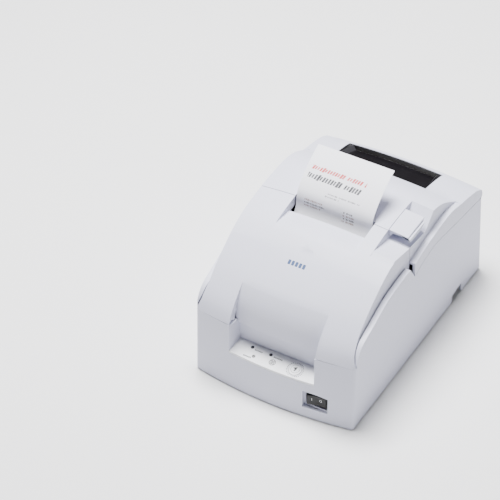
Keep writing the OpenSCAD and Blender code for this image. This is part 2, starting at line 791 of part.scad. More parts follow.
module latch_shaft() color(steel_colour) {
    rod_x(-hook_x, hook_x, latch_y, latch_z, latch_r - 0.01);
    box(lever_x + 5, lever_x + 9, latch_y - 3, latch_y + 3, latch_z, arch_h - 10.2);
    for (s = [-1, 1])
        across(s * hook_x - 1.2, s * hook_x + 1.2)
            polygon([
                [latch_y - 2, latch_z], [latch_y + 2, latch_z],
                [latch_y + 3.4, latch_z - 4], [latch_y + 1, latch_z - 22],
                [latch_y + 1, latch_z - 28], [latch_y + 6, latch_z - 28],
                [latch_y + 5, latch_z - 31.5], [latch_y - 3.4, latch_z - 33]
            ]);
}
module latch_spring() color(steel_colour)
    for (i = [0 : 4])
        translate([-20 + 1.5 * i, latch_y, latch_z])
            rotate([0, 90, 0]) rotate_extrude() translate([latch_r + 1.2, 0]) circle(0.6, $fn = 16);
module cover_stays() color(steel_colour)
    both_sides()
        difference() {
            union() {
                rod_x(lug_x, lug_x + lug_w, hinge_y, hinge_z, bead_r - 0.05);
                box(lug_x, lug_x + lug_w, hinge_y - 4.6, hinge_y - 0.9, hinge_z - 7, hinge_z);
                box(lug_x - 5, lug_x + lug_w + 3, hinge_y - 4.6, hinge_y - 0.4,
                    hinge_z - 16, hinge_z - 6);
            }
            rod_x(lug_x - 9, lug_x + lug_w + 9, hinge_y, hinge_z, pin_r);
        }

// ---- paper ----
bay_y = rear_y - 62;
bay_z = 54;
tub_t = 2;
roll_z = bay_z - bay_d / 2 + roll_d / 2 + 0.4;
web_y = crack_y - 9;
print_z = 88;
cut_z = arch_h - 25;
module bay_section(r, top) {
    translate([bay_y, bay_z]) circle(r);
    translate([bay_y - r, bay_z]) square([2 * r, top - bay_z]);
}
module roll_tub() color([0.78, 0.79, 0.80]) {
    hw = paper_w / 2 + 1;
    difference() {
        union() {
            across(-hw - tub_t, hw + tub_t) bay_section(bay_d / 2 + tub_t, deck_z + deck_t);
            box(-side_x + wall_t + 0.4, side_x - wall_t - 0.4, crack_y + 22.3,
                hinge_y - 5, deck_z + 0.02, deck_z + deck_t);
        }
        across(-hw, hw) bay_section(bay_d / 2, deck_z + 10);
        // Slot that lets the paper out at the front of the bay
        box(-hw, hw, bay_y - bay_d, bay_y - bay_d / 2 + 14, 33, 41);
        both_sides()
            box(side_x - 12, side_x, latch_y + 5, latch_y + 14, deck_z - 1, deck_z + 9);
    }
}
module paper_roll() color("white")
    difference() {
        rod_x(-paper_w / 2, paper_w / 2, bay_y, roll_z, roll_d / 2);
        rod_x(-paper_w, paper_w, bay_y, roll_z, 9);
    }
module roll_core() color([0.6, 0.5, 0.4])
    difference() {
        rod_x(-paper_w / 2, paper_w / 2, bay_y, roll_z, 9);
        rod_x(-paper_w, paper_w, bay_y, roll_z, 7.4);
    }
// A thin strip that follows a path in side view
module strip(path, t) {
    other = inset(path, t);
    across(-paper_w / 2, paper_w / 2)
        polygon(concat(path, [for (i = [len(other) - 1 : -1 : 0]) other[i]]));
}
module paper_web() color("white")
    strip(spline([
        [bay_y - bay_d / 2 + 1.6, 38.4], [bay_y - bay_d / 2 - 6, 36], [web_y + 18, 36],
        [web_y + 5, 40], [web_y, 50], [web_y, 60], [web_y, cut_z - 1]
    ], 4), 0.25);
module receipt_strip() color("white")
    strip(spline([
        [web_y + 0.6, cut_z + 4], [web_y + 4.5, cut_z + 9.5], [crack_y - 1.9, cut_z + 16],
        [crack_y - 0.9, cut_z + 23], [crack_y + 2.4, cut_z + 30], [crack_y + 10.5, cut_z + 38],
        [crack_y + 23, cut_z + 46.5], [crack_y + 38.5, cut_z + 54]
    ], 4), 0.25);

// ---- mechanism ----
shaft_y = crack_y - 41;
shaft_z = 80;
rail_y = crack_y - 24;
belt_y = shaft_y - 9;
belt_z = 66;
pulley_r = 6;
pulley_x = 42;
mech_z = 22;
feed_y = web_y + 0.65 + feed_d / 2;
feed_z = 58;
module_size = 1;
gear_x = mech_hw + 1;
gear_w = 4;
// Teeth stay clear of the meshing gear's teeth by this much at their tips
tip_gap = 0.2;
feed_gear_r = feed_teeth * module_size / 2;
pinion_r = pinion_teeth * module_size / 2;
pinion_y = feed_y - (feed_gear_r + pinion_r + 2 * module_size) * 0.8;
pinion_z = feed_z - (feed_gear_r + pinion_r + 2 * module_size) * 0.6;
pinch_r = 4;
pinch_y = web_y - 0.4 - pinch_r;
module gear_outline(n, r) {
    tooth = 360 / n;
    tip = r + module_size - tip_gap / 2;
    polygon([
        for (i = [0 : n - 1])
            for (k = [[-0.27, r - 1], [-0.12, tip], [0.12, tip], [0.27, r - 1]])
                k[1] * [cos((i + k[0]) * tooth), sin((i + k[0]) * tooth)]
    ]);
}
module gear_on_x(x, y, z, n, r, bore) {
    translate([x, y, z])
        rotate([90, 0, 90])
            linear_extrude(gear_w)
                difference() {
                    gear_outline(n, r);
                    circle(bore);
                }
}
module side_plate(s) {
    x0 = s > 0 ? mech_hw - plate_t : -mech_hw;
    difference() {
        across(x0, x0 + plate_t)
            polygon([
                [shaft_y - 16, mech_z], [crack_y + 14, mech_z], [crack_y + 14, 80],
                [crack_y + 2, 96], [crack_y + 2, cut_z - 1], [crack_y - 30, cut_z - 1],
                [crack_y - 34, 96], [shaft_y - 16, 84]
            ]);
        rod_x(-90, 90, shaft_y, shaft_z, shaft_d / 2 + 0.02);
        rod_x(-90, 90, feed_y, feed_z, 2.5 + run_gap);
        rod_x(-90, 90, pinch_y, feed_z, 1.5 + run_gap);
        rod_x(-90, 90, pinion_y, pinion_z, 5.5);
        box(-90, 90, web_y - 30, web_y - 16, 34, 52);
    }
    difference() {
        box(min(x0, x0 - s * 9), max(x0, x0 - s * 9) + (s > 0 ? plate_t : 0),
            crack_y + 3, crack_y + 13, mech_z, mech_z + plate_t);
        rod_z(0, 40, s * (mech_hw - 6), crack_y + 8, screw_r);
    }
}
module left_side_plate() color(steel_colour) side_plate(-1);
module right_side_plate() color(steel_colour) side_plate(1);
module mechanism_base() color(dark_colour)
    difference() {
        union() {
            box(-mech_hw, mech_hw, shaft_y - 16, crack_y + 14, mech_z - 2.5, mech_z - 0.05);
            for (p = stand_xy) rod_z(plate_top + 0.05, mech_z - 2, p.x, p.y, 4);
        }
        for (p = stand_xy) rod_z(0, 30, p.x, p.y, screw_r);
        for (s = [-1, 1]) rod_z(0, 30, s * (mech_hw - 6), crack_y + 8, screw_r);
    }
module mechanism_screws() color(steel_colour) {
    for (p = stand_xy) {
        rod_z(plate_z - 1.3, plate_z, p.x, p.y, 2.8);
        rod_z(plate_z - 0.5, mech_z - 4, p.x, p.y, screw_r - 0.02);
    }
    for (s = [-1, 1]) {
        rod_z(mech_z + plate_t, mech_z + plate_t + 1.5, s * (mech_hw - 6), crack_y + 8, 2.8);
        rod_z(mech_z - 2, mech_z + plate_t + 0.5, s * (mech_hw - 6), crack_y + 8, screw_r - 0.02);
    }
}
module guide_shaft() color(steel_colour)
    rod_x(-mech_hw - 1.5, mech_hw + 1.5, shaft_y, shaft_z, shaft_d / 2);
module guide_rail() color(steel_colour)
    across(-mech_hw + plate_t + 0.05, mech_hw - plate_t - 0.05)
        polygon([
            [rail_y, 66], [rail_y + 8, 66], [rail_y + 8, 67.2], [rail_y + 1.2, 67.2],
            [rail_y + 1.2, 78], [rail_y, 78]
        ]);
module platen() color(steel_colour)
    difference() {
        box(-mech_hw + plate_t + 0.05, mech_hw - plate_t - 0.05, web_y + 0.6, web_y + 5,
            print_z - 6, print_z + 6);
        box(-50, 50, web_y + 2, web_y + 6, print_z - 4, print_z + 4);
    }
module carriage() color(dark_colour)
    difference() {
        union() {
            box(-17, 17, shaft_y - 7, shaft_y + 6, shaft_z - 6, shaft_z + 5);
            box(-15, 15, shaft_y + 5, rail_y + 4, shaft_z + 0.5, shaft_z + 5);
            box(-8, 8, rail_y - 3, rail_y - 0.4, 70, shaft_z + 1);
            box(-8, 8, rail_y + 1.6, rail_y + 4, 70, shaft_z + 1);
            box(-5, 5, belt_y - pulley_r - 4, belt_y - pulley_r - 1.6, belt_z, shaft_z + 2);
            box(-5, 5, belt_y - pulley_r - 4, shaft_y - 6, shaft_z - 1, shaft_z + 2);
        }
        rod_x(-30, 30, shaft_y, shaft_z, shaft_d / 2 + run_gap);
    }
module print_head() color([0.3, 0.3, 0.32]) {
    box(-12, 12, shaft_y + 2, rail_y + 3, shaft_z + 5.05, shaft_z + 17);
    for (i = [0 : 4])
        box(-13, 13, shaft_y + 3 + 3.4 * i, shaft_y + 4.4 + 3.4 * i, shaft_z + 6, shaft_z + 19);
    box(-4, 4, rail_y + 2, web_y - 3.6, print_z - 2.9, print_z + 4);
}
module head_cable() color([0.85, 0.85, 0.8])
    across(-8, 8)
            polygon(concat(
                [for (a = [-90 : 15 : 90])
                    [shaft_y + 16 - 5 * cos(a) - 4, 60 + 6 * sin(a) - 4]],
                [for (a = [90 : -15 : -90])
                    [shaft_y + 16 - 4.7 * cos(a) - 4, 60 + 5.7 * sin(a) - 4]]));
module carriage_motor() color(steel_colour) {
    rod_z(mech_z + 0.1, mech_z + 32, -pulley_x, belt_y, 17);
    rod_z(mech_z + 32, mech_z + 34, -pulley_x, belt_y, 5);
    rod_z(mech_z + 33, belt_z + 6, -pulley_x, belt_y, 1.45);
}
module pulley(x) {
    difference() {
        union() {
            rod_z(belt_z - 2.4, belt_z + 2.4, x, belt_y, pulley_r - 0.15);
            for (z = [belt_z - 3.4, belt_z + 2.4]) rod_z(z, z + 1, x, belt_y, pulley_r + 1.4);
        }
        rod_z(0, 90, x, belt_y, 1.5);
    }
}
module drive_pulley() color([0.8, 0.8, 0.75]) pulley(-pulley_x);
module idler_pulley() color([0.8, 0.8, 0.75]) pulley(pulley_x);
module idler_post() color(steel_colour) {
    rod_z(mech_z, belt_z - 4, pulley_x, belt_y, 4);
    rod_z(belt_z - 5, belt_z + 6, pulley_x, belt_y, 1.45);
}
module belt_loop(r) {
    for (s = [-1, 1]) translate([s * pulley_x, belt_y]) circle(r);
    translate([-pulley_x, belt_y - r]) square([2 * pulley_x, 2 * r]);
}
module carriage_belt() color([0.1, 0.1, 0.1])
    translate([0, 0, belt_z - 2])
        linear_extrude(4)
            difference() {
                belt_loop(pulley_r + 1.2);
                belt_loop(pulley_r);
            }
module feed_roller() color([0.2, 0.2, 0.2]) {
    rod_x(-mech_hw - 1.5, gear_x + gear_w + 0.8, feed_y, feed_z, 2.5);
    for (x = [-30, -8, 14]) rod_x(x, x + 16, feed_y, feed_z, feed_d / 2);
}
module feed_gear() color([0.9, 0.9, 0.85])
    gear_on_x(gear_x, feed_y, feed_z, feed_teeth, feed_gear_r, 2.5);
module pinch_roller() color([0.85, 0.85, 0.85]) {
    rod_x(-mech_hw - 0.5, mech_hw + 0.5, pinch_y, feed_z, 1.5);
    for (x = [-30, -8, 14]) rod_x(x, x + 16, pinch_y, feed_z, pinch_r);
}
module feed_motor() color(steel_colour) {
    rod_x(mech_hw - plate_t - 20, mech_hw - plate_t - 0.05, pinion_y, pinion_z, 9);
    rod_x(mech_hw - plate_t - 1, mech_hw + 0.4, pinion_y, pinion_z, 5.3);
    rod_x(mech_hw, gear_x + gear_w + 1, pinion_y, pinion_z, 1.45);
}
module motor_pinion() color([0.8, 0.65, 0.3])
    gear_on_x(gear_x, pinion_y, pinion_z, pinion_teeth, pinion_r, 1.5);

// ---- ribbon ----
ribbon_z = 84;
ribbon_y0 = front_y + 39;
ribbon_y1 = shaft_y - 10;
ribbon_hw = 56;
knob_xy = [-40, ribbon_y0 + 16];
module ribbon_cassette() color([0.12, 0.12, 0.13])
    difference() {
        union() {
            box(-ribbon_hw, ribbon_hw, ribbon_y0, ribbon_y1, ribbon_z, ribbon_z + 9);
            both_sides()
                across(ribbon_hw - 6, ribbon_hw)
                    polygon([
                        [ribbon_y1 - 1, ribbon_z], [web_y - 5, ribbon_z + 0.5],
                        [web_y - 4, ribbon_z + 4], [web_y - 5, ribbon_z + 8],
                        [ribbon_y1 - 1, ribbon_z + 9]
                    ]);
        }
        rod_z(ribbon_z - 1, ribbon_z + 12, knob_xy.x, knob_xy.y, 3 + run_gap);
        rod_z(ribbon_z + 7.6, ribbon_z + 12, knob_xy.x, knob_xy.y, 8.4);
        both_sides()
            box(ribbon_hw - 5.2, ribbon_hw - 3.6, ribbon_y1 + 3, web_y + 5, ribbon_z - 1,
                ribbon_z + 12);
    }
module ribbon_knob() color([0.9, 0.9, 0.9]) {
    rod_z(ribbon_z - 1, ribbon_z + 9, knob_xy.x, knob_xy.y, 3);
    translate([knob_xy.x, knob_xy.y, ribbon_z + 7.8])
        linear_extrude(3)
            difference() {
                circle(7.6);
                for (i = [0 : 11]) rotate(30 * i) translate([8, 0]) circle(0.9, $fn = 16);
            }
}
module ink_ribbon() color([0.2, 0.05, 0.1]) {
    y = web_y - 2.4;
    x = ribbon_hw - 4.4;
    box(-x - 0.15, x + 0.15, y, y + 0.15, print_z - 4, print_z + 4);
    both_sides() box(x, x + 0.15, ribbon_y1 + 4, y + 0.1, print_z - 4, print_z + 4);
}

// ---- cutter ----
blade_t = 1.2;
blade_hw = 46;
cut_pinion_r = 4;
cut_x = blade_hw + cut_pinion_r + module_size + tip_gap / 2;
cut_y = crack_y - 22;
module cutter_frame() color(steel_colour)
    difference() {
        union() {
            box(-mech_hw, mech_hw, crack_y - 32, crack_y - 1, cut_z - 0.95, cut_z + 0.25);
            for (s = [-1, 1])
                box(s * 56 - 3, s * 56 + 3, crack_y - 6, crack_y - 1.5, cut_z, cut_z + 3.4);
        }
        box(-paper_w / 2 - 2, paper_w / 2 + 2, web_y - 1.4, web_y + 1.4, cut_z - 3, cut_z + 5);
        rod_z(cut_z - 3, cut_z + 3, cut_x, cut_y, 1.5);
    }
module fixed_blade() color([0.8, 0.8, 0.82])
    across(-44, 44)
        polygon([
            [web_y + 1.6, cut_z + 0.3], [crack_y - 1.5, cut_z + 0.3],
            [crack_y - 1.5, cut_z + 1.4], [web_y + 1.6, cut_z + 1.4]
        ]);
module moving_blade() color([0.8, 0.8, 0.82])
    translate([0, 0, cut_z + 1.6])
        linear_extrude(blade_t)
            difference() {
                polygon([
                    [-blade_hw, crack_y - 30], [blade_hw, crack_y - 30],
                    [blade_hw, web_y - 3], [0, web_y - 1.2], [-blade_hw, web_y - 3]
                ]);
                for (s = [-1, 1])
                    translate([s * 30 - 2, crack_y - 27]) square([4, 9]);
            }
module cutter_motor() color(steel_colour) {
    rod_z(cut_z - 18, cut_z - 1, cut_x, cut_y, 6.8);
    rod_z(cut_z - 2, cut_z + 4, cut_x, cut_y, 0.98);
}
module cutter_pinion() color([0.9, 0.9, 0.85])
    translate([cut_x, cut_y, cut_z + 0.6])
        linear_extrude(3)
            difference() {
                gear_outline(8, cut_pinion_r);
                circle(1);
            }

// ---- electronics and connectors ----
module main_board() color([0.1, 0.35, 0.2])
    difference() {
        box(-48, 48, front_y + 20, shaft_y - 19, 8, 9.6);
        for (s = [-1, 1]) rod_z(0, 20, s * 44, front_y + 24, 1.6);
    }
module board_capacitors() color([0.15, 0.15, 0.2])
    for (i = [0 : 3])
        rod_z(9.6, 9.6 + (i % 2 == 0 ? 14 : 11), -36 + 13 * i, front_y + 28, i % 2 == 0 ? 5 : 4);
sock_y0 = rear_y - 15;
sock_y1 = rear_y - 1.4;
module connector_plate() color(steel_colour)
    difference() {
        box(-bay_x + 0.4, bay_x - 0.4, rear_y - 4, rear_y - 2.8, bay_z0, bay_z1 - 0.4);
        rod_y(rear_y - 9, rear_y, -42, 28, 7.2);
        box(-26.2, -11.8, rear_y - 9, rear_y, 19.8, 34.2);
        box(1.8, 54.2, rear_y - 9, rear_y, 18.8, 36.2);
    }
module power_socket() color(dark_colour)
    difference() {
        union() {
            rod_y(sock_y0, sock_y1, -42, 28, 7);
            box(-50, -34, sock_y0 - 1, rear_y - 4.1, 19, 37);
        }
        rod_y(rear_y - 11, rear_y + 1, -42, 28, 4.9);
    }
module drawer_socket() color(dark_colour)
    difference() {
        box(-26, -12, sock_y0, sock_y1, 20, 34);
        box(-24, -14, rear_y - 12, rear_y, 22, 30);
        box(-21, -17, rear_y - 12, rear_y, 29, 32.5);
    }
module data_connector() color([0.1, 0.25, 0.45])
    difference() {
        box(2, 54, sock_y0 + 1, sock_y1, 19, 36);
        box(6, 50, rear_y - 9, rear_y, 22.5, 32.5);
    }

lower_case();
base_plate();
rubber_feet();
base_screws();
operation_panel();
status_lamps();
panel_board();
feed_button();
switch_housing();
power_rocker();
front_cover();
roll_cover();
roll_window();
cover_hinge_pins();
cover_lever();
latch_shaft();
latch_spring();
cover_stays();
roll_tub();
paper_roll();
roll_core();
paper_web();
receipt_strip();
mechanism_base();
left_side_plate();
right_side_plate();
mechanism_screws();
guide_shaft();
guide_rail();
platen();
carriage();
print_head();
head_cable();
carriage_motor();
drive_pulley();
idler_pulley();
idler_post();
carriage_belt();
feed_roller();
feed_gear();
pinch_roller();
feed_motor();
motor_pinion();
ribbon_cassette();
ribbon_knob();
ink_ribbon();
cutter_frame();
fixed_blade();
moving_blade();
cutter_motor();
cutter_pinion();
main_board();
board_capacitors();
connector_plate();
power_socket();
drawer_socket();
data_connector();
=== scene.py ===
"""Looks of a desktop receipt printer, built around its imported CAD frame.

Every length is in metres unless a name ends in _mm.
"""

import logging
import math
from dataclasses import dataclass, field
from enum import Enum
from typing import Callable, Sequence

import bpy
from mathutils import Matrix, Vector
from mathutils.bvhtree import BVHTree


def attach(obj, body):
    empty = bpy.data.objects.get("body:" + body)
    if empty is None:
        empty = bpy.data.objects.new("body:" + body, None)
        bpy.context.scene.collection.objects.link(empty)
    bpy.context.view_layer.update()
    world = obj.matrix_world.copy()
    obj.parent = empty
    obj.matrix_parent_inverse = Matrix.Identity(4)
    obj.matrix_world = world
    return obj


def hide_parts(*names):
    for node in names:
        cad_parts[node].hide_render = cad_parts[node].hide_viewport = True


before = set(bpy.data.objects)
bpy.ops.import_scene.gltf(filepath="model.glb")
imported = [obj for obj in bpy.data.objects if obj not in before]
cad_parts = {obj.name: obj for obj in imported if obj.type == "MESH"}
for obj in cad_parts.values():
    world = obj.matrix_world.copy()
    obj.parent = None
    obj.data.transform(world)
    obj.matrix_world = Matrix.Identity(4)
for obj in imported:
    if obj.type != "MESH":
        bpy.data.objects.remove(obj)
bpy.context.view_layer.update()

log = logging.getLogger("receipt_printer")

BASE = "printer_base"
FRONT_COVER = "front_cover_body"
ROLL_COVER = "roll_cover_body"
LEVER = "lever_body"
BUTTON = "button_body"
ROCKER = "rocker_body"

MM = 0.001

Colour = tuple[float, float, float]


class Texture(Enum):
    """The kinds of surface the printer's materials have."""

    SPARK = "spark eroded plastic"
    SATIN = "smooth satin plastic"
    BRUSHED = "brushed sheet metal"
    TURNED = "ground or turned metal"
    RUBBER = "moulded rubber"
    PAPER = "paper"
    WOUND = "wound paper roll"
    BOARD = "printed circuit board"
    WEAVE = "woven ribbon"
    INK = "printed ink"


class Graph:
    """A small helper that adds nodes to one material."""

    def __init__(self, material: bpy.types.Material) -> None:
        """Use the material's nodes, keeping its shader and output, and add object coordinates for
        its textures.

        Args:
            material: the material to fill.
        """
        material.use_nodes = True
        self.tree = material.node_tree
        self.shader = self.tree.nodes["Principled BSDF"]
        coords = self.tree.nodes.new("ShaderNodeTexCoord")
        self.place = coords.outputs["Object"]

    def put(self, kind: str, inputs: dict[str | int, object] | None = None,
            **settings: object) -> bpy.types.Node:
        """Add a node, set its properties and fill its inputs.

        Args:
            kind: the node's type name.
            inputs: values or sockets by input name or number.
            **settings: properties of the node.

        Returns:
            The new node.
        """
        node = self.tree.nodes.new(kind)
        for name, value in settings.items():
            setattr(node, name, value)
        for name, value in (inputs or {}).items():
            self.feed(node.inputs[name], value)
        return node

    def feed(self, socket: bpy.types.NodeSocket, value: object) -> None:
        """Link a socket to another, or set its value."""
        if isinstance(value, bpy.types.NodeSocket):
            self.tree.links.new(value, socket)
        else:
            socket.default_value = value

    def math(self, operation: str, *values: object) -> bpy.types.NodeSocket:
        """Add a Math node.

        Args:
            operation: the node's operation.
            *values: its inputs, sockets or numbers.

        Returns:
            Its output socket.
        """
        node = self.put("ShaderNodeMath", dict(enumerate(values)), operation=operation)
        return node.outputs[0]

    def noise(self, scale: float, detail: float = 2.0,
              stretch: Sequence[float] = (1, 1, 1)) -> bpy.types.NodeSocket:
        """Add noise in object space.

        Args:
            scale: features per metre.
            detail: octaves.
            stretch: factors on X, Y and Z.

        Returns:
            The noise factor's socket.
        """
        mapped = self.put("ShaderNodeMapping", {"Vector": self.place, "Scale": tuple(stretch)})
        node = self.put("ShaderNodeTexNoise", {
            "Vector": mapped.outputs[0], "Scale": scale, "Detail": detail})
        return node.outputs[0]

    def mix(self, factor: object, first: Colour, second: Colour) -> bpy.types.NodeSocket:
        """Blend two colours, either of which may be a socket.

        Args:
            factor: 0 for the first colour, 1 for the second.
            first: the first colour.
            second: the second colour.

        Returns:
            The blended colour's socket.
        """
        node = self.put("ShaderNodeMix", data_type="RGBA")
        self.feed(node.inputs[0], factor)
        for socket, value in ((node.inputs[6], first), (node.inputs[7], second)):
            self.feed(socket, value if isinstance(value, bpy.types.NodeSocket) else (*value, 1))
        return node.outputs[2]

    def spread(self, value: object, low: float, high: float) -> bpy.types.NodeSocket:
        """Map a 0.3 to 0.7 value onto the given range."""
        node = self.put("ShaderNodeMapRange", {
            "Value": value, "From Min": 0.3, "From Max": 0.7, "To Min": low, "To Max": high})
        return node.outputs[0]

    def bump(self, height: object, depth: float, strength: float = 1.0) -> None:
        """Drive the shader's normal by a height.

        Args:
            height: the height's socket, 0 to 1.
            depth: metres that a height of 1 stands for.
            strength: how much of the bump shows.
        """
        node = self.put("ShaderNodeBump", {
            "Height": height, "Distance": depth, "Strength": strength})
        self.feed(self.shader.inputs["Normal"], node.outputs[0])


@dataclass(frozen=True)
class Finish:
    """One finish: colour, gloss and the texture of its surface."""

    name: str
    colour: Colour
    roughness: float
    texture: Texture = Texture.SPARK
    metallic: float = 0.0
    variation: float = 0.03
    grain: float = 1500.0
    depth: float = 0.00004
    coat: float = 0.0
    centre_mm: tuple[float, float] = (0.0, 0.0)

    def shade(self, factor: float) -> Colour:
        """This finish's colour, lighter or darker."""
        return tuple(min(1.0, c * factor) for c in self.colour)

    def material(self) -> bpy.types.Material:
        """Make the material, or return it if it exists.

        Returns:
            The Blender material.
        """
        title = f"{self.name}_finish"
        known = bpy.data.materials.get(title)
        if known:
            return known
        material = bpy.data.materials.new(title)
        graph = Graph(material)
        graph.shader.inputs["Metallic"].default_value = self.metallic
        graph.shader.inputs["Coat Weight"].default_value = self.coat
        painter: dict[Texture, Callable[[Graph], None]] = {
            Texture.BRUSHED: self._brushed, Texture.TURNED: self._turned,
            Texture.PAPER: self._paper, Texture.WOUND: self._wound,
            Texture.BOARD: self._board, Texture.WEAVE: self._weave,
            Texture.INK: self._ink,
        }
        painter.get(self.texture, self._moulded)(graph)
        material.diffuse_color = (*self.colour, 1)
        return material

    def _moulded(self, graph: Graph) -> None:
        """Plastic or rubber out of a textured mould."""
        broad = graph.noise(22, 3)
        fine = graph.noise(self.grain, 3)
        tone = graph.math("ADD", graph.math("MULTIPLY", broad, 0.7),
                          graph.math("MULTIPLY", fine, 0.3))
        colour = graph.mix(graph.spread(tone, 0, 1), self.shade(1 - self.variation),
                           self.shade(1 + self.variation))
        graph.feed(graph.shader.inputs["Base Color"], colour)
        rough = graph.spread(fine, self.roughness - 0.06, self.roughness + 0.06)
        graph.feed(graph.shader.inputs["Roughness"], rough)
        graph.bump(fine, self.depth, 0.6)

    def _brushed(self, graph: Graph) -> None:
        """Sheet metal with fine lines along X."""
        lines = graph.noise(self.grain, 4, (0.03, 1, 1))
        clouds = graph.noise(60, 3)
        colour = graph.mix(graph.spread(clouds, 0, 1), self.shade(1 - self.variation * 2),
                           self.shade(1 + self.variation * 2))
        graph.feed(graph.shader.inputs["Base Color"], colour)
        graph.feed(graph.shader.inputs["Roughness"],
                   graph.spread(lines, self.roughness - 0.1, self.roughness + 0.1))
        graph.bump(lines, self.depth, 0.5)

    def _turned(self, graph: Graph) -> None:
        """Ground metal with rings round X."""
        rings = graph.noise(self.grain, 3, (1, 0.06, 0.06))
        graph.feed(graph.shader.inputs["Base Color"],
                   graph.mix(graph.spread(rings, 0, 1), self.shade(0.9), self.shade(1.08)))
        graph.feed(graph.shader.inputs["Roughness"],
                   graph.spread(rings, self.roughness - 0.07, self.roughness + 0.07))
        graph.bump(rings, self.depth, 0.4)

    def _paper(self, graph: Graph) -> None:
        """Uncoated paper with fibres."""
        fibres = graph.noise(self.grain, 5, (0.35, 1, 1))
        graph.feed(graph.shader.inputs["Base Color"],
                   graph.mix(graph.spread(fibres, 0, 1), self.shade(0.97), self.shade(1.02)))
        graph.feed(graph.shader.inputs["Roughness"],
                   graph.spread(fibres, self.roughness - 0.04, self.roughness + 0.04))
        graph.bump(fibres, self.depth, 0.5)

    def _wound(self, graph: Graph) -> None:
        """The end of a roll, with its turns showing."""
        parts = graph.put("ShaderNodeSeparateXYZ", {"Vector": graph.place})
        across = graph.math("SUBTRACT", parts.outputs[1], self.centre_mm[0] * MM)
        up = graph.math("SUBTRACT", parts.outputs[2], self.centre_mm[1] * MM)
        radius = graph.math("SQRT", graph.math(
            "ADD", graph.math("MULTIPLY", across, across), graph.math("MULTIPLY", up, up)))
        turns = graph.math("SINE", graph.math("MULTIPLY", radius, 9000.0))
        turns = graph.math("MULTIPLY_ADD", turns, 0.5, 0.5)
        fibres = graph.noise(self.grain, 4)
        tone = graph.math("MULTIPLY_ADD", fibres, 0.4, graph.math("MULTIPLY", turns, 0.6))
        graph.feed(graph.shader.inputs["Base Color"],
                   graph.mix(tone, self.shade(0.9), self.shade(1.02)))
        graph.shader.inputs["Roughness"].default_value = self.roughness
        graph.bump(tone, self.depth, 0.6)

    def _board(self, graph: Graph) -> None:
        """Solder mask over copper tracks."""
        cells = graph.put("ShaderNodeTexVoronoi", {"Vector": graph.place, "Scale": 260.0},
                          distance="CHEBYCHEV", feature="F1")
        tracks = graph.math("GREATER_THAN", cells.outputs["Distance"], 0.42)
        graph.feed(graph.shader.inputs["Base Color"],
                   graph.mix(tracks, self.colour, self.shade(1.7)))
        graph.shader.inputs["Roughness"].default_value = self.roughness
        graph.bump(tracks, self.depth, 0.4)

    def _weave(self, graph: Graph) -> None:
        """Fine woven threads."""
        threads = graph.put("ShaderNodeTexWave", {"Vector": graph.place, "Scale": 900.0},
                            bands_direction="DIAGONAL").outputs["Fac"]
        graph.feed(graph.shader.inputs["Base Color"],
                   graph.mix(threads, self.shade(0.7), self.shade(1.3)))
        graph.shader.inputs["Roughness"].default_value = self.roughness
        graph.bump(threads, self.depth, 0.6)

    def _ink(self, graph: Graph) -> None:
        """Screen printed ink, slightly uneven."""
        fine = graph.noise(self.grain, 3)
        graph.feed(graph.shader.inputs["Base Color"],
                   graph.mix(graph.spread(fine, 0, 1), self.shade(0.9), self.shade(1.12)))
        graph.feed(graph.shader.inputs["Roughness"],
                   graph.spread(fine, self.roughness - 0.05, self.roughness + 0.05))


CASE_PLASTIC = Finish("case_plastic", (0.64, 0.648, 0.765), 0.52, depth=0.00006, variation=0.012)
PANEL_PLASTIC = Finish("panel_plastic", (0.82, 0.825, 0.86), 0.42, Texture.SATIN, grain=900)
DARK_PLASTIC = Finish("dark_plastic", (0.022, 0.022, 0.024), 0.5)
ROCKER_PLASTIC = Finish("rocker_plastic", (0.003, 0.003, 0.0035), 0.62, Texture.SATIN, depth=0.00001)
WINDOW_PLASTIC = Finish("smoked_window", (0.004, 0.0032, 0.0045), 0.34, Texture.SATIN,
                        grain=60, depth=0.000003, coat=0.1)
# Painted highlight: a lighter copy of the smoked window plastic, laid on the tray's sloping end
# facets that face sideways and up.
PAINTED_WINDOW_HIGHLIGHT = Finish("window_end_painted_highlight", (0.05, 0.049, 0.056), 0.35, Texture.SATIN)
LAMP_LENS = Finish("lamp_lens", (0.006, 0.007, 0.007), 0.22, Texture.SATIN, coat=0.4)
GREY_PLASTIC = Finish("grey_plastic", (0.34, 0.34, 0.36), 0.5)
CREAM_PLASTIC = Finish("cream_plastic", (0.62, 0.58, 0.45), 0.4, Texture.SATIN)
RUBBER = Finish("rubber", (0.02, 0.02, 0.02), 0.8, Texture.RUBBER, depth=0.00008, grain=900)
ZINC_STEEL = Finish("zinc_steel", (0.55, 0.56, 0.58), 0.38, Texture.BRUSHED, metallic=1.0)
GROUND_STEEL = Finish("ground_steel", (0.62, 0.62, 0.64), 0.22, Texture.TURNED, metallic=1.0)
MOTOR_STEEL = Finish("motor_steel", (0.36, 0.36, 0.38), 0.42, Texture.BRUSHED, metallic=1.0)
HEAD_ALLOY = Finish("head_alloy", (0.16, 0.16, 0.17), 0.55, Texture.BRUSHED, metallic=0.7)
BRASS = Finish("brass", (0.62, 0.45, 0.16), 0.3, Texture.TURNED, metallic=1.0)
BOARD = Finish("circuit_board", (0.012, 0.09, 0.035), 0.35, Texture.BOARD)
CAPACITOR = Finish("capacitor_sleeve", (0.012, 0.014, 0.04), 0.3, Texture.SATIN)
CONNECTOR_BLUE = Finish("connector_blue", (0.02, 0.05, 0.16), 0.45, Texture.SATIN)
CORE_CARD = Finish("core_card", (0.3, 0.19, 0.1), 0.8, Texture.PAPER)
RIBBON = Finish("ribbon_fabric", (0.03, 0.006, 0.01), 0.7, Texture.WEAVE)
ROLL_PAPER = Finish("roll_paper", (0.8, 0.8, 0.82), 0.85, Texture.WOUND, grain=1800,
                    depth=0.0001, centre_mm=(62.0, 51.9))
WEB_PAPER = Finish("web_paper", (0.82, 0.82, 0.84), 0.85, Texture.PAPER)
BLACK_INK = Finish("black_ink", (0.012, 0.012, 0.014), 0.5, Texture.INK)
